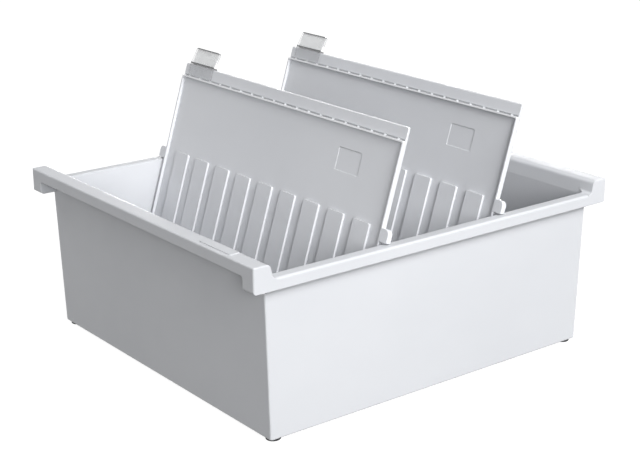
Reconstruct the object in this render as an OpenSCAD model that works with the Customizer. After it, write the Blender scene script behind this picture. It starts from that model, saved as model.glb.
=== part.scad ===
// Card index tray: an open moulded tray, two support plates that stand in grooves
// on its floor and lean back on its side rims, and a clear index rider on each plate

/* [Tray] */
// Length of the tray over its grip rails
tray_l = 365; // [320:5:400]
// Width of the tray over its side rims
tray_w = 336; // [330:2:400]
// Height of the grip rails above the underside of the tray
rail_h = 144; // [130:1:170]
// How far the side rims lie below the grip rails
rim_drop = 11.4; // [8:0.2:14]
// Width of the top of a grip rail
rail_top_w = 14.8; // [12:0.2:18]
// Overhang of the grip rails beyond the end walls
rail_out = 15.3; // [14:0.1:20]
// Overhang of the side rims beyond the side walls
rim_out = 8.4; // [7:0.1:12]
// Depth of the skirts of the side rims
skirt_h = 9.6; // [7:0.2:12]
// Depth of the lips of the grip rails
lip_h = 9.5; // [7:0.5:12]
// Width of the deeper block at each end of a grip rail
block_w = 14; // [11:0.5:20]
// Thickness of the walls
wall_t = 2.2; // [2:0.1:3]
// Thickness of the floor
floor_t = 2.5; // [2:0.1:4]
// Thickness of the lips and skirts
skirt_t = 2.2; // [1.6:0.1:2.6]
// Thickness of the web that closes each end block
web_t = 2; // [1.5:0.1:3]
// Thickness of the tops of the rails and rims
top_t = 2.5; // [2:0.1:3]
// How far each end wall leans in from its skirt to its foot
end_lean = 4; // [2:0.5:6]
// How far each side wall leans in from its skirt to its foot
side_lean = 1.25; // [0.5:0.25:2]
// Outer radius of the upright corners
corner_r = 1.5; // [1:0.25:4]
// Inner radius of the upright corners
inner_r = 3.5; // [2.5:0.5:8]
// Radius of the lower edge outside
base_r = 1; // [0.5:0.25:2]
// Radius between walls and floor inside
floor_r = 2.5; // [1.5:0.5:4]

/* [Groove racks] */
// Distance from one groove to the next
groove_pitch = 7.5; // [7:0.5:8.5]
// Number of grooves in a rack
groove_count = 40; // [32:2:40]
// Height of the ridges above the floor
ridge_h = 3.5; // [3:0.25:4]
// Width of the flat top of a ridge
ridge_top_w = 1.2; // [0.8:0.1:1.6]
// Width of the flat bottom of a groove
groove_w = 2.6; // [2.4:0.1:3]
// Width of a rack
rack_w = 28; // [26:1:32]
// Distance from the middle of the tray to the middle of a rack
rack_x = 130; // [110:1:132]

/* [Feet] */
// Diameter of a foot
foot_d = 12; // [10:1:16]
// How far a foot stands out below the tray
foot_h = 2.5; // [2:0.5:4]
// Depth of the seat of a foot in the underside
foot_seat = 0.8; // [0.5:0.1:1]
// Distance from the foot of each wall to the middle of a foot
foot_in = 7.4; // [7.4:0.2:20]

/* [Support plates] */
// Lean of a plate at rest
lean = 17.5; // [12:0.5:20]
// Count of grooves from the front end of a rack to that of the front plate
front_groove_count = 8; // [7:1:10]
// Count of grooves from the front end of a rack to that of the rear plate
rear_groove_count = 24; // [23:1:28]
// Width of a plate without its ears
plate_w = 308.5; // [304:0.5:309]
// Height of a plate above the underside of its ears
plate_rise = 89.7; // [80:0.1:100]
// Thickness of the panel
panel_t = 1.6; // [1.4:0.1:2]
// Height of the flange round the panel above its rear face
flange_h = 4.4; // [3.6:0.1:5]
// Thickness of the flange
flange_t = 1.4; // [1.2:0.1:2]
// Height of the strip above the panel
strip_h = 11.1; // [9:0.1:13]
// Thickness of the strip
strip_t = 2.1; // [1.8:0.1:2.4]
// Distance from one slot to the next
slot_pitch = 16.2; // [14:0.1:18]
// Height of a slot
slot_h = 1.3; // [1:0.1:2]
// Depth of a slot
slot_deep = 1.2; // [0.8:0.1:1.4]
// Width of the bridge between two slots
bridge_w = 1.8; // [1.4:0.1:3]
// Width of the bridge at each end of the slots
end_bridge_w = 1.2; // [1:0.1:2]
// Number of raised pads
pad_count = 9; // [7:1:9]
// Distance from one pad to the next
pad_pitch = 32.1; // [30:0.1:32.5]
// Width of a pad
pad_w = 20; // [16:0.5:22]
// How far a pad stands out from the panel
pad_rise = 2; // [1.5:0.1:2.3]
// Height of the tops of the pads above the underside of the ears
pad_top = 10.1; // [5:0.1:20]
// Height of an ear
ear_h = 10.5; // [8:0.1:12]
// How far an ear stands out from the plate
ear_w = 8.6; // [7:0.1:9]
// Radius of the outer top corner of an ear
ear_r = 4; // [3:0.5:6]
// Thickness of the foot tabs, twice the radius of their round ends
tab_t = 2; // [1.6:0.1:2.2]
// Width of a foot tab
tab_w = 22; // [18:1:24]
// Distance from the pivot of a plate to its lower edge
tab_h = 7; // [6:0.5:8]

/* [Index riders] */
// Width of a rider
rider_w = 36.5; // [30:0.5:40]
// Distance from the left end of the strip to the rider
rider_in = 7.2; // [4:0.1:10]
// Thickness of the clear plastic
rider_t = 0.9; // [0.8:0.1:1.2]
// Depth of the leg in front of the strip
front_leg_h = 10.6; // [8:0.1:11]
// Depth of the leg behind the strip
rear_leg_h = 8; // [6:0.1:10]
// Height of the bend above the top of the strip
bend_h = 1.9; // [1.7:0.1:3]
// Height of the window above the bend
window_h = 14; // [12:0.1:16]
// How much more than the plate the window leans back
window_lean = 13.5; // [5:0.5:20]
// Height of the flap behind the window
flap_h = 8.8; // [6:0.1:10]
// Space for the insert between window and flap
insert_gap = 0.9; // [0.8:0.05:1.2]
// Radius of the upper corners of the window
window_r = 2.5; // [1:0.1:4]
// Thickness of the insert
insert_t = 0.35; // [0.25:0.05:0.4]
// Width of the insert
insert_w = 33.5; // [28:0.5:34]

/* [Hidden] */
$fn = 48;
tray_colour = [0.83, 0.84, 0.85];
plate_colour = [0.78, 0.79, 0.8];
foot_colour = [0.24, 0.25, 0.26];
clear_colour = [0.9, 0.93, 0.95, 0.5];
paper_colour = [0.97, 0.97, 0.96];

// Overrun of cuts, and how far joined solids reach into each other
over = 1;
// Running clearance between pieces that move on each other
gap = 0.3;
// Thickness of the slices that a hull joins
slice_t = 0.05;
// Steps of a rounded corner, and of a rounded edge in degrees
arc_steps = 6;
edge_step = 18;

// Lean of the step from rail to rim, and radii of the rail's section
step_lean = 12;
step_r = 3.5;
rail_outer_r = 1.5;
rail_inner_r = 4;
block_r = 3.2;
grip_r = 1.2;
lip_corner_r = 2;
// Rounding of rails and rims: in plan, at the ends of the rails, along the top of the
// rims and along their hems
plan_r = 1.6;
edge_r = 1.2;
rim_r = 2;
hem_r = 0.5;
// Steeper band inside, below the rails: depths of its upper and lower edge
band_top = 3.5;
band_deep = 13.3;
// Ledge along the inner edge of each side rim
ledge_w = 1.2;
ledge_h = 0.8;
// Bare raised field on the front rail: size, height, corner and place
plaque_w = 41;
plaque_l = 8.6;
plaque_h = 0.6;
plaque_r = 1;
plaque_x = 113.5;
plaque_in = 7.8;
// Bare sunk field on each plate: size, depth, corner and place
field_w = 28.5;
field_h = 18.5;
field_deep = 0.4;
field_r = 1;
field_x = 95;
field_up = 50.4;
// Corner radii of the plates, and how far the pads stop above their lower edge
strip_r = 1.6;
strip_edge_r = 0.9;
plate_r = 3;
frame_r = 1;
pad_r = 1.5;
ear_foot_r = 0.8;
pad_foot = 12;
// Edge radius of the feet, of the riders and of the inserts
foot_r = 0.8;
clip_r = 0.4;
insert_r = 1;

rim_h = rail_h - rim_drop;
skirt_z = rim_h - skirt_h;
lip_z = rail_h - lip_h;
step_run = rim_drop * tan(step_lean);
band_z = rail_h - band_deep;
body_w = tray_w - 2 * rim_out;
body_l = tray_l - 2 * rail_out;
block_x = tray_w / 2 - block_w;
ridge_w = groove_pitch - groove_w;
tab_r = tab_t / 2;
pivot_z = foot_h + floor_t + gap + tab_r;
ear_z = foot_h + rim_h + gap;
ear_v = (ear_z - pivot_z + tab_r * sin(lean)) / cos(lean);
top_v = ear_v + plate_rise;
frame_v = top_v - strip_h;
pad_v = ear_v + pad_top;
pad_foot_v = tab_h + flange_t + pad_foot;
pad_l = pad_v - pad_foot_v;
slot_end = plate_w / 2 - end_bridge_w;
slot_reach = ceil(slot_end / slot_pitch);
clip_n = strip_t + gap + rider_t;
rider_x = rider_in + rider_w / 2 - plate_w / 2;
insert_h = window_h - rider_t - 2 * gap;

// Unit vector along v
function unit(v) = v / norm(v);

// Arc of radius r that rounds corner b between its neighbours a and c
function corner(a, b, c, r) = r == 0 ? [b] :
    let (u = unit(a - b), w = unit(c - b), half = acos(u * w) / 2,
         centre = b + unit(u + w) * r / sin(half), turn = 180 - 2 * half,
         from = unit(b + u * r / tan(half) - centre),
         to = unit(b + w * r / tan(half) - centre))
    [for (i = [0 : arc_steps])
        centre + r * (from * sin(turn * (1 - i / arc_steps))
                      + to * sin(turn * i / arc_steps)) / sin(turn)];

// Outline through corners [x, y, radius]
function rounded(pts) =
    [for (i = [0 : len(pts) - 1])
        let (a = pts[(i + len(pts) - 1) % len(pts)], b = pts[i], c = pts[(i + 1) % len(pts)])
        each corner([a.x, a.y], [b.x, b.y], [c.x, c.y], b.z)];

// Rectangle w by l about the origin with rounded corners
function rectangle(w, l, r) =
    rounded([[-w / 2, -l / 2, r], [w / 2, -l / 2, r], [w / 2, l / 2, r], [-w / 2, l / 2, r]]);

// How far a wall that leans in by total at its foot stands in at height z
function lean_at(total, z) = total * (1 - z / skirt_z);

// Place along the tray of groove number n
function groove_y(n) = (n - 1 - (groove_count - 1) / 2) * groove_pitch;

// Extrudes an outline [y, z] along x, over width w about the middle
module along_x(w) rotate([90, 0, 90]) linear_extrude(w, center = true) children();

// Extrudes an outline [x, z] along y, over length l about the middle
module along_y(l) rotate([90, 0, 0]) linear_extrude(l, center = true) children();

module front_and_rear() {
    children();
    mirror([0, 1, 0]) children();
}

module left_and_right() {
    children();
    mirror([1, 0, 0]) children();
}

// Thin slice of the tray's body at height z, set in from the outer face
module slice(z, inset, r)
    translate([0, 0, z]) linear_extrude(slice_t)
        polygon(rectangle(body_w - 2 * (lean_at(side_lean, z) + inset),
                          body_l - 2 * (lean_at(end_lean, z) + inset), r));

// Drafted body of the tray, solid, with a rounded lower edge
module body_block() hull() {
    for (a = [0 : edge_step : 90])
        slice(base_r * (1 - cos(a)), base_r * (1 - sin(a)), corner_r);
    slice(rim_h - slice_t, 0, corner_r);
}

// Space inside the body, open at the top
module cavity() hull() {
    for (a = [0 : edge_step : 90])
        slice(floor_t + floor_r * (1 - cos(a)), wall_t + floor_r * (1 - sin(a)), inner_r);
    slice(rail_h + over, wall_t, inner_r);
}

// Outer form of the front grip rail, with the step down to the side rims
module rail_form() intersection() {
    along_x(tray_w) translate([-tray_l / 2, 0]) polygon(rounded([
        [0, skirt_z, block_r],
        [0, rail_h, rail_outer_r],
        [rail_top_w, rail_h, rail_inner_r],
        [rail_top_w + step_run, rim_h, step_r],
        [rail_top_w + step_run + step_r, rim_h, 0],
        [rail_top_w + step_run + step_r, skirt_z, 0]]));
    along_y(tray_l) polygon(rounded([
        [-tray_w / 2, skirt_z, hem_r],
        [-tray_w / 2, rail_h, edge_r],
        [tray_w / 2, rail_h, edge_r],
        [tray_w / 2, skirt_z, hem_r]]));
}

// Outer form of both side rims, as one slab across the tray
module rim_form()
    along_y(tray_l - 2 * rail_top_w) polygon(rounded([
        [-tray_w / 2, skirt_z, hem_r],
        [-tray_w / 2, rim_h, rim_r],
        [tray_w / 2, rim_h, rim_r],
        [tray_w / 2, skirt_z, hem_r]]));

// Hollow under the front rail between x = from and x = to
module grip_hollow(from, to)
    let (slope_t = wall_t / cos(step_lean))
    translate([(from + to) / 2, 0, 0]) along_x(to - from)
        translate([-tray_l / 2, 0]) polygon(rounded([
            [skirt_t, skirt_z - over, 0],
            [skirt_t, rail_h - top_t, grip_r],
            [rail_top_w + top_t * tan(step_lean) - slope_t, rail_h - top_t, grip_r],
            [rail_top_w + step_run - slope_t, rim_h, 0],
            [rail_out + wall_t / 2, rim_h, 0],
            [rail_out + wall_t / 2, skirt_z - over, 0]]));

// Hollow under the right side rim
module rim_hollow()
    along_y(tray_l - 2 * skirt_t) polygon(rounded([
        [body_w / 2 - wall_t / 2, skirt_z - over, 0],
        [body_w / 2 - wall_t / 2, rim_h - top_t, 0],
        [tray_w / 2 - skirt_t, rim_h - top_t, grip_r],
        [tray_w / 2 - skirt_t, skirt_z - over, 0]]));

// What shortens the lip of the front rail between its end blocks
module lip_cut()
    translate([0, (skirt_t - tray_l) / 2, 0]) along_y(skirt_t + 2 * over) polygon(rounded([
        [-block_x, skirt_z - over, 0],
        [-block_x, lip_z, lip_corner_r],
        [block_x, lip_z, lip_corner_r],
        [block_x, skirt_z - over, 0]]));

// Rails and rims, hollow from below
module rims() difference() {
    intersection() {
        union() {
            front_and_rear() rail_form();
            rim_form();
        }
        translate([0, 0, skirt_z - over]) linear_extrude(rail_h)
            polygon(rectangle(tray_w, tray_l, plan_r));
    }
    front_and_rear() {
        grip_hollow(-block_x, block_x);
        left_and_right() grip_hollow(block_x + web_t, tray_w / 2 - skirt_t);
        lip_cut();
    }
    left_and_right() rim_hollow();
}

// Step along the inner edges of the side rims
module rim_ledge()
    translate([0, 0, rim_h - ledge_h]) linear_extrude(rim_drop + over)
        polygon(rectangle(body_w - 2 * (lean_at(side_lean, rim_h) + wall_t - ledge_w),
                          body_l - 2 * (lean_at(end_lean, rim_h) + wall_t), inner_r));

// What makes the band on the inner face of the front wall
module band_cut()
    let (far = max(rail_out + wall_t, rail_top_w + step_run) + over)
    along_x(body_w - 2 * (wall_t + inner_r)) translate([-tray_l / 2, 0]) polygon([
        [rail_top_w + band_top * tan(step_lean), rail_h - band_top],
        [rail_out + wall_t + lean_at(end_lean, band_z), band_z],
        [far, band_z],
        [far, rail_h - band_top]]);

// Ridges and grooves of one rack, seen from the side as [y, z]
module rack()
    let (half = groove_count * groove_pitch / 2)
    translate([0, 0, floor_t]) along_x(rack_w) polygon(concat(
        [[-half - ridge_w / 2, -floor_t / 2]],
        [for (i = [0 : groove_count]) let (y = i * groove_pitch - half)
            each [[y - ridge_w / 2, 0], [y - ridge_top_w / 2, ridge_h],
                  [y + ridge_top_w / 2, ridge_h], [y + ridge_w / 2, 0]]],
        [[half + ridge_w / 2, -floor_t / 2]]));

// Bare raised field on the front rail
module plaque()
    translate([plaque_x, plaque_in - tray_l / 2, rail_h - over]) linear_extrude(over + plaque_h)
        polygon(rectangle(plaque_w, plaque_l, plaque_r));

// Puts a foot under corner [side, end], each -1 or 1
module at_foot(side, end)
    translate([side * (body_w / 2 - side_lean - foot_in), end * (body_l / 2 - end_lean - foot_in)])
        children();

module tray() color(tray_colour) translate([0, 0, foot_h]) {
    difference() {
        union() {
            body_block();
            rims();
            plaque();
        }
        cavity();
        rim_ledge();
        front_and_rear() band_cut();
        for (side = [-1, 1], end = [-1, 1])
            at_foot(side, end) translate([0, 0, -over])
                cylinder(d = foot_d + gap, h = over + foot_seat);
    }
    left_and_right() translate([rack_x, 0, 0]) rack();
}

module foot(side, end) color(foot_colour) at_foot(side, end)
    rotate_extrude() polygon(concat([[0, 0]],
        corner([0, 0], [foot_d / 2, 0], [foot_d / 2, foot_h], foot_r),
        [[foot_d / 2, foot_h + foot_seat], [0, foot_h + foot_seat]]));

// Stands what is drawn in the plane of a plate in its groove: x across, y up the
// plate from its pivot, z forward from its rear face
module in_groove(n)
    translate([0, groove_y(n), pivot_z]) rotate([90 - lean, 0, 0]) translate([0, 0, -tab_r])
        children();

// Outline of the panel, set in by inset, with its lower and upper corner radii
function frame(inset, low_r, high_r) = rounded([
    [inset - plate_w / 2, tab_h + inset, low_r],
    [plate_w / 2 - inset, tab_h + inset, low_r],
    [plate_w / 2 - inset, frame_v - inset, high_r],
    [inset - plate_w / 2, frame_v - inset, high_r]]);

// Flange all round the panel
module flange() linear_extrude(flange_h) difference() {
    polygon(frame(0, plate_r, frame_r));
    polygon(frame(flange_t, plate_r - flange_t, frame_r));
}

// Strip along the top that carries the rider, with a rounded upper edge
module strip() intersection() {
    linear_extrude(strip_t) polygon(rounded([
        [-plate_w / 2, frame_v - over, 0],
        [-plate_w / 2, top_v, strip_r],
        [plate_w / 2, top_v, strip_r],
        [plate_w / 2, frame_v - over, 0]]));
    along_x(plate_w) polygon(rounded([
        [frame_v - over, 0, 0],
        [frame_v - over, strip_t, 0],
        [top_v, strip_t, strip_edge_r],
        [top_v, 0, strip_edge_r / 2]]));
}

// Row of shallow slots along the foot of the strip
module slots() translate([0, 0, strip_t - slot_deep]) linear_extrude(slot_deep + over)
    for (i = [-slot_reach : slot_reach - 1])
        let (from = max(-slot_end, i * slot_pitch + bridge_w / 2),
             to = min(slot_end, (i + 1) * slot_pitch - bridge_w / 2))
        if (to > from) translate([from, frame_v]) square([to - from, slot_h]);

// Right ear, flush with the front of the flange
module ear() linear_extrude(flange_h) polygon(rounded([
    [plate_w / 2 - flange_t, ear_v, 0],
    [plate_w / 2 + ear_w, ear_v, ear_foot_r],
    [plate_w / 2 + ear_w, ear_v + ear_h, ear_r],
    [plate_w / 2 - flange_t, ear_v + ear_h, 0]]));

// Right foot tab, with a round end about the pivot
module tab() translate([rack_x - tab_w / 2, 0, tab_r]) {
    rotate([0, 90, 0]) cylinder(r = tab_r, h = tab_w);
    translate([0, 0, -tab_r]) cube([tab_w, tab_h + flange_t, tab_t]);
}

// Puts a shape at the place of each pad
module at_pads() for (i = [0 : pad_count - 1])
    translate([(i - (pad_count - 1) / 2) * pad_pitch, (pad_v + pad_foot_v) / 2]) children();

module support_plate(n) color(plate_colour) in_groove(n) difference() {
    union() {
        linear_extrude(panel_t) polygon(frame(0, plate_r, frame_r));
        flange();
        strip();
        left_and_right() {
            ear();
            tab();
        }
        at_pads() linear_extrude(panel_t + pad_rise) polygon(rectangle(pad_w, pad_l, pad_r));
    }
    slots();
    at_pads() translate([0, 0, -over]) linear_extrude(over + pad_rise)
        polygon(rectangle(pad_w - 2 * panel_t, pad_l - 2 * panel_t, pad_r));
    translate([field_x, ear_v + field_up, panel_t - field_deep]) linear_extrude(over)
        polygon(rectangle(field_w, field_h, field_r));
}

// Puts what is drawn in the plane of the window at its bend: x across, y up the
// window, z forward from the front face
module at_bend()
    translate([rider_x, top_v + bend_h, clip_n]) rotate([-window_lean, 0, 0]) children();

// Clip of a rider, seen from its end as [forward, up] from the top of the strip
module clip_outline() {
    polygon(rounded([
        [strip_t + gap, -front_leg_h, clip_r],
        [clip_n, -front_leg_h, clip_r],
        [clip_n, bend_h, 0],
        [strip_t + gap, bend_h, 0]]));
    polygon(rounded([
        [-gap - rider_t, -rear_leg_h, clip_r],
        [-gap, -rear_leg_h, clip_r],
        [-gap, gap, 0],
        [strip_t + gap + clip_r, gap, 0],
        [strip_t + gap + clip_r, gap + rider_t, 0],
        [-gap - rider_t, gap + rider_t, clip_r]]));
}

// Window, the fold at its top and the flap behind it
module window() difference() {
    translate([0, 0, -2 * rider_t - insert_gap]) linear_extrude(2 * rider_t + insert_gap)
        polygon(rounded([
            [-rider_w / 2, 0, 0],
            [rider_w / 2, 0, 0],
            [rider_w / 2, window_h, window_r],
            [-rider_w / 2, window_h, window_r]]));
    translate([-rider_w / 2 - over, -over, -rider_t - insert_gap])
        cube([rider_w + 2 * over, window_h - rider_t + over, insert_gap]);
    translate([-rider_w / 2 - over, -over, -2 * rider_t - insert_gap - over])
        cube([rider_w + 2 * over, window_h - flap_h + over, rider_t + over + insert_gap]);
}

module rider(n) color(clear_colour) in_groove(n) {
    translate([rider_x, top_v, 0]) rotate([0, -90, 0]) linear_extrude(rider_w, center = true)
        clip_outline();
    at_bend() window();
}

module label(n) color(paper_colour) in_groove(n) at_bend()
    translate([0, gap + insert_h / 2, -rider_t - (insert_gap + insert_t) / 2])
        linear_extrude(insert_t) polygon(rectangle(insert_w, insert_h, insert_r));

tray();
foot(-1, -1);  // foot_front_left
foot(1, -1);  // foot_front_right
foot(-1, 1);  // foot_rear_left
foot(1, 1);  // foot_rear_right
support_plate(front_groove_count);  // support_plate_front
support_plate(rear_groove_count);  // support_plate_rear
rider(front_groove_count);  // rider_front
rider(rear_groove_count);  // rider_rear
label(front_groove_count);  // label_front
label(rear_groove_count);  // label_rear
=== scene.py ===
"""Looks of an open card index tray with two leaning support plates."""

import math

import bmesh
import bpy
from mathutils import Matrix, Vector

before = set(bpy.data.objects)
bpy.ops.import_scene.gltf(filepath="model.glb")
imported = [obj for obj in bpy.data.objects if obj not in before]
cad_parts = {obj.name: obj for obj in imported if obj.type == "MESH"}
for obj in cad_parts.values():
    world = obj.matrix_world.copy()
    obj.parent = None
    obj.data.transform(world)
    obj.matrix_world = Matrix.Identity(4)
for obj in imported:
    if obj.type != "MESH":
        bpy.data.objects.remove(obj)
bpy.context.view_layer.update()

# Lengths are in metres, apart from the ramps, which count in millimetres.
MM = 0.001

# Camera of the photograph
PHOTO_WIDTH_PIXELS = 640
FOCAL_PIXELS = 1485.4
SENSOR_MM = 36.0
CAMERA_AT = Vector((0.9792, -0.7443, 0.4990))
CAMERA_AZIMUTH = math.radians(52.55)
CAMERA_ELEVATION = math.radians(18.45)
CAMERA_ROLL = math.radians(-0.433)
CLIP_NEAR = 0.05
CLIP_FAR = 60

# The place that every lamp faces, and the name, place, watts, width and height of each lamp
CENTRE = Vector((0, 0, 0.09))
LAMPS = (
    ("right", (4.0, -0.3, 2.4), 103, 1.6, 1.6),
    ("right_front", (3.9, -2.2, 1.4), 118, 1.6, 1.6),
    ("right_near", (1.4, 0.1, 1.3), 23, 0.7, 0.7),
    ("front_low", (-0.3, -1.9, 0.25), 3.7, 0.9, 0.4),
    ("top_rear", (0.3, 3.0, 2.6), 20, 2, 2),
    ("left_high", (-2.5, -1.5, 3.0), 42, 1.8, 1.8),
    ("rear_left", (-3.2, 3.0, 0.3), 95, 2, 0.5),
)

# How far the floor reaches, its glow where it is seen, the share of lamp light that it shows
# on top of that, so that the shadow of the tray stays, and the grey with which it lights the tray
FLOOR_REACH = 9
FLOOR_GLOW = 0.93
FLOOR_SHOWN = 0.2
FLOOR_BOUNCE = 0.08

# Degrees by which a plate leans back, and a rider's window from its plate
PLATE_LEAN = 17.5
WINDOW_LEAN = 13.5
# Where the foot of each plate stands
GROOVES = (("front", -0.09375), ("rear", 0.02625))
# The bend of a rider and the lip under a plate's slots, from the plate's groove in the floor plane
BEND_FROM_GROOVE = Vector((0, 0.06615, 0.22375))
LIP_FROM_GROOVE = Vector((0, 0.06444, 0.21066))
# How far the rear face of a plate lies behind its lip: the radius of its foot tabs
TAB_RADIUS = 0.001
# From one bridge between the slots to the next, and from the middle of a bridge outwards:
# where its painted highlight ends and where it is full
SLOT_PITCH = 0.0162
BRIDGE_ENDS = 0.0012
BRIDGE_FULL = 0.0007

# Ramps are stops of measured millimetres and a level.
# Up a rider's window, from its bend: where painted shade darkens the clear plastic, and its window
DARK_LINES = ((-1.2, 0), (-0.8, 1), (0.2, 1), (0.5, 0), (12.9, 0), (13.2, 1))
WINDOW_BEGINS = ((0.0, 0), (0.5, 1))
# Up a plate, from its lip: painted highlights on the lip itself, on the bridges between the slots,
# and on the upper edge of the strip
LIP_HIGHLIGHT = ((-1.7, 0), (-1.4, 1), (0.0, 1), (0.2, 0))
BRIDGE_HIGHLIGHT = ((-0.2, 0), (0.0, 1), (0.9, 1), (1.5, 0))
STRIP_EDGE_HIGHLIGHT = ((10.0, 0), (10.5, 1))
# Forward of a plate's rear face: where its lip stands out
LIP_STANDS_OUT = ((2.3, 0), (2.5, 1))
# How far below and above its start a ramp can reach
RAMP_BELOW = 2
RAMP_ABOVE = 15

# Mouldings: the two greys of the flow tones, how close those lie along x, y and z, and roughness
TRAY_GREYS = ((0.529, 0.541, 0.566, 1), (0.563, 0.574, 0.598, 1))
TRAY_FLOW = (5, 5, 9)
TRAY_ROUGHNESS = 0.42
PLATE_GREYS = ((0.620, 0.632, 0.660, 1), (0.661, 0.673, 0.700, 1))
PLATE_FLOW = (6, 9, 7)
PLATE_ROUGHNESS = 0.40
# Roughness varies by this much to each side
UNEVEN = 0.05
# Painted shade greys the inner corners, where shade falls: how far it looks for them, how little open
# they are where it begins and where it is full, its share there and its grey
CREASE_REACH = 0.0024
CREASE_SHADE_OPENNESS = (0.72, 0.42)
CREASE_SHADE_SHARE = 0.42
CREASE_SHADE_GREY = (0.42, 0.425, 0.43, 1)
# Edges are rounded by a small radius and get a painted highlight: the cosine of the turn of the
# surface where an edge begins and where it is full, how open it has to be, and the share and grey
# there
EDGE_RADIUS = 0.0006
EDGE_TURN = (0.97, 0.82)
EDGE_OPENNESS = (0.8, 0.95)
EDGE_HIGHLIGHT_SHARE = 0.55
HIGHLIGHT_GREY = (0.83, 0.84, 0.86, 1)
# Share of the painted highlight grey on the upper edge of the strip
STRIP_EDGE_HIGHLIGHT_SHARE = 0.25

# Clear plastic: tones and opacity of a rider's legs, of its window, whose paler tones paint in light
# on the label behind it, and of its dark places, which are painted shade
LEG_TONES = ((0.50, 0.51, 0.53, 1), (0.58, 0.59, 0.61, 1))
LEG_ALPHA = 0.17
WINDOW_PAINTED_LIGHT_TONES = ((0.80, 0.815, 0.83, 1), (0.88, 0.89, 0.90, 1))
WINDOW_ALPHA = 0.24
DARK_TONE = (0.10, 0.104, 0.11, 1)
DARK_ALPHA = 0.8
CLEAR_ROUGHNESS = (0.08, 0.17)
# How far a cut end faces sideways where its painted shade begins and where it is full, and how dark
# that is
CUT_FACING = (0.7, 0.9)
CUT_SHARE = 0.5

# Rubber and paper: their two tones and their roughness, and between which values of its noise
# the dust on the rubber comes up
RUBBER_DUST = (0.45, 0.75)
RUBBER_TONES = ((0.022, 0.023, 0.025, 1), (0.065, 0.066, 0.068, 1))
RUBBER_ROUGHNESS = (0.62, 0.85)
RUBBER_SPECULAR = 0.3
PAPER_TONES = ((0.84, 0.845, 0.85, 1), (0.91, 0.91, 0.905, 1))
PAPER_ROUGHNESS = (0.7, 0.92)

PLASTIC_IOR = 1.5
MOULDED_SPECULAR = 0.4

# Between these two values a noise has nearly all its tones
NOISE_LOW = 0.3
NOISE_HIGH = 0.7
# Rays per point by which edges and inner corners are found
EDGE_SAMPLES = 6
CREASE_SAMPLES = 8
# Colour sockets of a Mix node, and its colour output
MIX_FIRST = 6
MIX_SECOND = 7
MIX_RESULT = 2


# Camera

def photo_camera():
    """The camera at the viewing angle of the photograph."""
    az, el, roll = CAMERA_AZIMUTH, CAMERA_ELEVATION, CAMERA_ROLL
    back = Vector((math.sin(az) * math.cos(el), -math.cos(az) * math.cos(el), math.sin(el)))
    level_right = Vector((math.cos(az), math.sin(az), 0))
    level_up = back.cross(level_right)
    right = level_right * math.cos(roll) + level_up * math.sin(roll)
    up = level_up * math.cos(roll) - level_right * math.sin(roll)
    data = bpy.data.cameras.new("camera")
    data.sensor_width = SENSOR_MM
    data.lens = FOCAL_PIXELS * SENSOR_MM / PHOTO_WIDTH_PIXELS
    data.clip_start = CLIP_NEAR
    data.clip_end = CLIP_FAR
    camera = bpy.data.objects.new("camera", data)
    bpy.context.scene.collection.objects.link(camera)
    axes = Matrix((right, up, back)).transposed()
    camera.matrix_world = Matrix.Translation(CAMERA_AT) @ axes.to_4x4()
    bpy.context.scene.camera = camera


# Node helpers

def feed(tree, socket, source):
    """Link a source that is an output, or set one that is a constant."""
    if isinstance(source, bpy.types.NodeSocket):
        tree.links.new(source, socket)
    else:
        socket.default_value = source


def feed_all(tree, node, sources):
    """Feed the inputs of a node by their names."""
    for name, source in sources.items():
        feed(tree, node.inputs[name], source)


def combined(tree, operation, first, second=0.0):
    """Two values through one Math operation, or a value through one that takes no second."""
    made = tree.nodes.new("ShaderNodeMath")
    made.operation = operation
    feed(tree, made.inputs[0], first)
    feed(tree, made.inputs[1], second)
    return made.outputs[0]


def stronger(tree, first, second):
    """The larger of two values."""
    return combined(tree, "MAXIMUM", first, second)


def both(tree, first, second):
    """The product of two values."""
    return combined(tree, "MULTIPLY", first, second)


def dot(tree, first, second):
    """The dot product of two vectors."""
    made = tree.nodes.new("ShaderNodeVectorMath")
    made.operation = "DOT_PRODUCT"
    feed(tree, made.inputs[0], first)
    feed(tree, made.inputs[1], second)
    return made.outputs["Value"]


def part_along_x(tree, vector):
    """The x part of a vector."""
    made = tree.nodes.new("ShaderNodeSeparateXYZ")
    tree.links.new(vector, made.inputs[0])
    return made.outputs["X"]


def face_normal(tree):
    """The normal of the face itself."""
    return tree.nodes.new("ShaderNodeNewGeometry").outputs["True Normal"]


def spread(tree, value, low, high, into=(0, 1)):
    """A value from low..high, spread over another range."""
    made = tree.nodes.new("ShaderNodeMapRange")
    feed_all(tree, made, {
        "Value": value,
        "From Min": low,
        "From Max": high,
        "To Min": into[0],
        "To Max": into[1],
    })
    return made.outputs["Result"]


def noise(tree, place, scale, detail=3.0, rough=0.5, stretch=None):
    """A noise over a place, which can be stretched along its axes."""
    if stretch:
        mapping = tree.nodes.new("ShaderNodeMapping")
        mapping.inputs["Scale"].default_value = stretch
        tree.links.new(place, mapping.inputs["Vector"])
        place = mapping.outputs["Vector"]
    made = tree.nodes.new("ShaderNodeTexNoise")
    feed_all(tree, made, {"Scale": scale, "Detail": detail, "Roughness": rough, "Vector": place})
    return made.outputs["Fac"]


def mottled(tree, made_noise, into=(0, 1)):
    """The tones of a noise, spread over a range."""
    return spread(tree, made_noise, NOISE_LOW, NOISE_HIGH, into)


def blend_colours(tree, share, first, second):
    """The first colour, with a share of the second over it."""
    made = tree.nodes.new("ShaderNodeMix")
    made.data_type = "RGBA"
    feed(tree, made.inputs[MIX_FIRST], first)
    feed(tree, made.inputs[MIX_SECOND], second)
    tree.links.new(share, made.inputs[0])
    return made.outputs[MIX_RESULT]


def bump(tree, height, depth, strength=1.0, under=None):
    """Normals of a relief, over those of another where there is one."""
    made = tree.nodes.new("ShaderNodeBump")
    feed_all(tree, made, {"Strength": strength, "Distance": depth, "Height": height})
    if under is not None:
        tree.links.new(under, made.inputs["Normal"])
    return made.outputs["Normal"]


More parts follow.
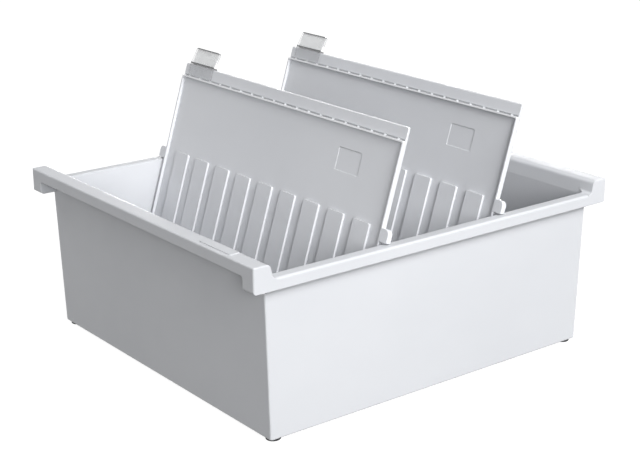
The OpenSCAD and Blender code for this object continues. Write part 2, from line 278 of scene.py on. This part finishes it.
def softened(tree, radius):
    """Normals that turn over a small radius at every edge, as on a real moulding."""
    made = tree.nodes.new("ShaderNodeBevel")
    made.samples = EDGE_SAMPLES
    made.inputs["Radius"].default_value = radius
    return made.outputs["Normal"]


def openness(tree, reach):
    """1 on the open faces of a piece, and less in its narrow inner corners."""
    made = tree.nodes.new("ShaderNodeAmbientOcclusion")
    made.samples = CREASE_SAMPLES
    made.only_local = True
    made.inputs["Distance"].default_value = reach
    return made.outputs["AO"]


def along_edges(tree, softened_normal):
    """1 where a softened normal differs from that of the face itself."""
    return spread(tree, dot(tree, softened_normal, face_normal(tree)), *EDGE_TURN)


def measured(tree, place, direction, start):
    """How far a point lies along a direction from a start, within the reach of a ramp."""
    along = dot(tree, place, direction)
    middle = direction.dot(start)
    return spread(tree, along, middle - RAMP_BELOW * MM, middle + RAMP_ABOVE * MM)


def ramp(tree, value, stops):
    """A grey ramp through (measured millimetres, level) pairs."""
    made = tree.nodes.new("ShaderNodeValToRGB")
    points = made.color_ramp.elements
    while len(points) < len(stops):
        points.new(0.5)
    for point, (height, level) in zip(points, stops):
        point.position = (height + RAMP_BELOW) / (RAMP_BELOW + RAMP_ABOVE)
        point.color = grey(level)
    tree.links.new(value, made.inputs["Fac"])
    return made.outputs["Color"]


def grey(level):
    """A neutral colour."""
    return (level, level, level, 1)


def up_along(lean):
    """The direction up a piece that leans back by some degrees."""
    return Vector((0, math.sin(math.radians(lean)), math.cos(math.radians(lean))))


def forward_of(lean):
    """The direction out of the front of a piece that leans back by some degrees."""
    return Vector((0, -math.cos(math.radians(lean)), math.sin(math.radians(lean))))


# Studio

def soft_lamp(name, at, power, width, height):
    """A rectangular soft box that faces the centre."""
    data = bpy.data.lights.new(name, "AREA")
    data.shape = "RECTANGLE"
    data.size = width
    data.size_y = height
    data.energy = power
    lamp = bpy.data.objects.new(name, data)
    lamp.location = at
    lamp.rotation_mode = "QUATERNION"
    lamp.rotation_quaternion = (CENTRE - Vector(at)).to_track_quat("-Z", "Y")
    bpy.context.scene.collection.objects.link(lamp)


def seen_directly(tree):
    """1 for a ray that shows the surroundings: from the camera, in gloss or through clear plastic."""
    path = tree.nodes.new("ShaderNodeLightPath")
    seen = stronger(tree, path.outputs["Is Camera Ray"], path.outputs["Is Glossy Ray"])
    return stronger(tree, seen, path.outputs["Is Transmission Ray"])


def studio_world():
    """White where it is seen, with no light of its own on the tray."""
    world = bpy.data.worlds.new("studio")
    world.use_nodes = True
    tree = world.node_tree
    tree.nodes.clear()
    white = tree.nodes.new("ShaderNodeBackground")
    feed_all(tree, white, {"Color": grey(1), "Strength": 1})
    mix = tree.nodes.new("ShaderNodeMixShader")
    out = tree.nodes.new("ShaderNodeOutputWorld")
    tree.links.new(seen_directly(tree), mix.inputs[0])
    tree.links.new(white.outputs[0], mix.inputs[2])
    tree.links.new(mix.outputs[0], out.inputs["Surface"])
    bpy.context.scene.world = world


def studio_floor():
    """A pale floor that keeps the shadow of the tray."""
    mesh = bpy.data.meshes.new("floor")
    form = bmesh.new()
    bmesh.ops.create_grid(form, x_segments=8, y_segments=8, size=FLOOR_REACH)
    form.to_mesh(mesh)
    form.free()
    floor = bpy.data.objects.new("floor", mesh)
    bpy.context.scene.collection.objects.link(floor)
    material = bpy.data.materials.new("floor")
    material.use_nodes = True
    tree = material.node_tree
    tree.nodes.clear()
    lit = tree.nodes.new("ShaderNodeBsdfDiffuse")
    lit.inputs["Color"].default_value = grey(FLOOR_BOUNCE)
    shown = tree.nodes.new("ShaderNodeBsdfDiffuse")
    shown.inputs["Color"].default_value = grey(FLOOR_SHOWN)
    shine = tree.nodes.new("ShaderNodeEmission")
    feed_all(tree, shine, {"Color": grey(1), "Strength": FLOOR_GLOW})
    seen = tree.nodes.new("ShaderNodeAddShader")
    mix = tree.nodes.new("ShaderNodeMixShader")
    out = tree.nodes.new("ShaderNodeOutputMaterial")
    tree.links.new(shown.outputs[0], seen.inputs[0])
    tree.links.new(shine.outputs[0], seen.inputs[1])
    tree.links.new(seen_directly(tree), mix.inputs[0])
    tree.links.new(lit.outputs[0], mix.inputs[1])
    tree.links.new(seen.outputs[0], mix.inputs[2])
    tree.links.new(mix.outputs[0], out.inputs["Surface"])
    mesh.materials.append(material)


# Materials

def surface(name):
    """A new material with its tree, its shader and coordinates in metres."""
    material = bpy.data.materials.new(name)
    material.use_nodes = True
    tree = material.node_tree
    shader = tree.nodes["Principled BSDF"]
    place = tree.nodes.new("ShaderNodeTexCoord").outputs["Object"]
    return material, tree, shader, place


def lip_highlights(tree, place, groove):
    """1 where a plate gets painted highlights: the lip below its slots, the bridges between them and
    its top.
    """
    up = up_along(PLATE_LEAN)
    forward = forward_of(PLATE_LEAN)
    lip = Vector((0, groove, 0)) + LIP_FROM_GROOVE
    height = measured(tree, place, up, lip)
    from_rear = measured(tree, place, forward, lip - forward * TAB_RADIUS)
    lip_band = both(tree, ramp(tree, height, LIP_HIGHLIGHT), ramp(tree, from_rear, LIP_STANDS_OUT))
    from_bridge = combined(tree, "PINGPONG", part_along_x(tree, place), SLOT_PITCH / 2)
    at_bridge = spread(tree, from_bridge, BRIDGE_ENDS, BRIDGE_FULL)
    bridge_band = both(tree, ramp(tree, height, BRIDGE_HIGHLIGHT), at_bridge)
    edge_band = spread(tree, ramp(tree, height, STRIP_EDGE_HIGHLIGHT), 0, 1, (0, STRIP_EDGE_HIGHLIGHT_SHARE))
    return stronger(tree, stronger(tree, lip_band, bridge_band), edge_band)


def moulded_plastic(name, greys, flow, roughness, lip_groove=None):
    """Satin moulded polystyrene: faint flow tones, fine spark-eroded grain and uneven gloss, with
    painted shade in its inner corners, painted highlights on its edges and, on a plate, painted
    highlights about its lip.
    """
    material, tree, shader, place = surface(name)
    tone = mottled(tree, noise(tree, place, scale=1, detail=4, rough=0.55, stretch=flow))
    open_face = openness(tree, CREASE_REACH)
    # painted shade: the narrow inner corners are greyed in the colour, where shade falls
    dust_and_painted_shade = spread(tree, open_face, *CREASE_SHADE_OPENNESS, into=(0, CREASE_SHADE_SHARE))
    edge = softened(tree, EDGE_RADIUS)
    open_edge = spread(tree, open_face, *EDGE_OPENNESS, into=(0, EDGE_HIGHLIGHT_SHARE))
    # painted highlight: the open edges are lightened in the colour, where they catch the light
    painted_edge_highlight = both(tree, along_edges(tree, edge), open_edge)
    colour = blend_colours(tree, tone, *greys)
    colour = blend_colours(tree, dust_and_painted_shade, colour, CREASE_SHADE_GREY)
    colour = blend_colours(tree, painted_edge_highlight, colour, HIGHLIGHT_GREY)
    if lip_groove is not None:
        # painted highlights on a plate's lip, on the bridges between its slots and on the upper edge
        # of its strip
        colour = blend_colours(tree, lip_highlights(tree, place, lip_groove), colour, HIGHLIGHT_GREY)
    uneven = (roughness - UNEVEN, roughness + UNEVEN)
    gloss = mottled(tree, noise(tree, place, scale=55, detail=5, rough=0.6), uneven)
    sag = bump(tree, noise(tree, place, scale=14, detail=1), depth=0.0006, strength=0.5, under=edge)
    grain_noise = noise(tree, place, scale=1900, detail=2, rough=0.6)
    grain = bump(tree, grain_noise, depth=0.00002, strength=0.6, under=sag)
    feed_all(tree, shader, {
        "Base Color": colour,
        "Roughness": gloss,
        "Normal": grain,
        "IOR": PLASTIC_IOR,
        "Specular IOR Level": MOULDED_SPECULAR,
    })
    return material


def foot_rubber():
    """Dark rubber with dust in its grain."""
    material, tree, shader, place = surface("foot_rubber")
    dust_and_painted_shade = spread(tree, noise(tree, place, scale=420, detail=4, rough=0.6), *RUBBER_DUST)
    grain = noise(tree, place, scale=1500)
    feed_all(tree, shader, {
        "Base Color": blend_colours(tree, dust_and_painted_shade, *RUBBER_TONES),
        "Roughness": spread(tree, dust_and_painted_shade, 0, 1, RUBBER_ROUGHNESS),
        "Normal": bump(tree, grain, depth=0.0001, strength=0.5),
        "Specular IOR Level": RUBBER_SPECULAR,
    })
    return material


def cut_ends(tree):
    """How much painted shade darkens the cut ends of the plastic, which face sideways."""
    sideways = combined(tree, "ABSOLUTE", part_along_x(tree, face_normal(tree)))
    return spread(tree, sideways, *CUT_FACING, into=(0, CUT_SHARE))


def clear_plastic(name, groove):
    """Clear moulded plastic with a slight haze, with painted shade in its bend, in its fold and on
    its cut ends.
    """
    material, tree, shader, place = surface(name)
    haze = mottled(tree, noise(tree, place, scale=160, detail=4))
    up = up_along(PLATE_LEAN + WINDOW_LEAN)
    height = measured(tree, place, up, Vector((0, groove, 0)) + BEND_FROM_GROOVE)
    # painted shade: dark lines at the bend and the fold, and on the cut ends
    dark = stronger(tree, ramp(tree, height, DARK_LINES), cut_ends(tree))
    in_window = ramp(tree, height, WINDOW_BEGINS)
    leg = blend_colours(tree, haze, *LEG_TONES)
    # painted light: the window is given paler tones than the legs, standing in for light on the label
    # behind it
    window = blend_colours(tree, haze, *WINDOW_PAINTED_LIGHT_TONES)
    body = blend_colours(tree, in_window, leg, window)
    body_alpha = spread(tree, in_window, 0, 1, (LEG_ALPHA, WINDOW_ALPHA))
    dark_alpha = spread(tree, dark, 0, 1, (0, DARK_ALPHA))
    waves = noise(tree, place, scale=120, detail=2, rough=0.4, stretch=(1, 1, 3))
    feed_all(tree, shader, {
        "Base Color": blend_colours(tree, dark, body, DARK_TONE),
        "Alpha": stronger(tree, body_alpha, dark_alpha),
        "Roughness": spread(tree, haze, 0, 1, CLEAR_ROUGHNESS),
        "Normal": bump(tree, waves, depth=0.0001, strength=0.4),
        "IOR": PLASTIC_IOR,
    })
    return material


def label_paper():
    """Blank white card with fibres."""
    material, tree, shader, place = surface("label_paper")
    fibre = noise(tree, place, scale=700, detail=5, rough=0.7, stretch=(1, 2.5, 0.6))
    feed_all(tree, shader, {
        "Base Color": blend_colours(tree, mottled(tree, fibre), *PAPER_TONES),
        "Roughness": mottled(tree, fibre, PAPER_ROUGHNESS),
        "Normal": bump(tree, fibre, depth=0.00005, strength=0.7),
    })
    return material


def dress(nodes, material):
    """Give the pieces of some CAD nodes a material in every slot."""
    for name in nodes:
        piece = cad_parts[name]
        if not piece.data.materials:
            piece.data.materials.append(material)
        for slot in piece.material_slots:
            slot.material = material


photo_camera()
studio_world()
studio_floor()
for lamp in LAMPS:
    soft_lamp(*lamp)

dress(["tray"], moulded_plastic("tray_plastic", TRAY_GREYS, TRAY_FLOW, TRAY_ROUGHNESS))
dress(["foot_front_left", "foot_front_right", "foot_rear_left", "foot_rear_right"], foot_rubber())
for end, groove in GROOVES:
    plate_name = "plate_plastic_" + end
    plate_plastic = moulded_plastic(plate_name, PLATE_GREYS, PLATE_FLOW, PLATE_ROUGHNESS, groove)
    dress(["support_plate_" + end], plate_plastic)
    dress(["rider_" + end], clear_plastic("clear_plastic_" + end, groove))
dress(["label_front", "label_rear"], label_paper())

scene = bpy.context.scene
scene.view_settings.view_transform = "Standard"
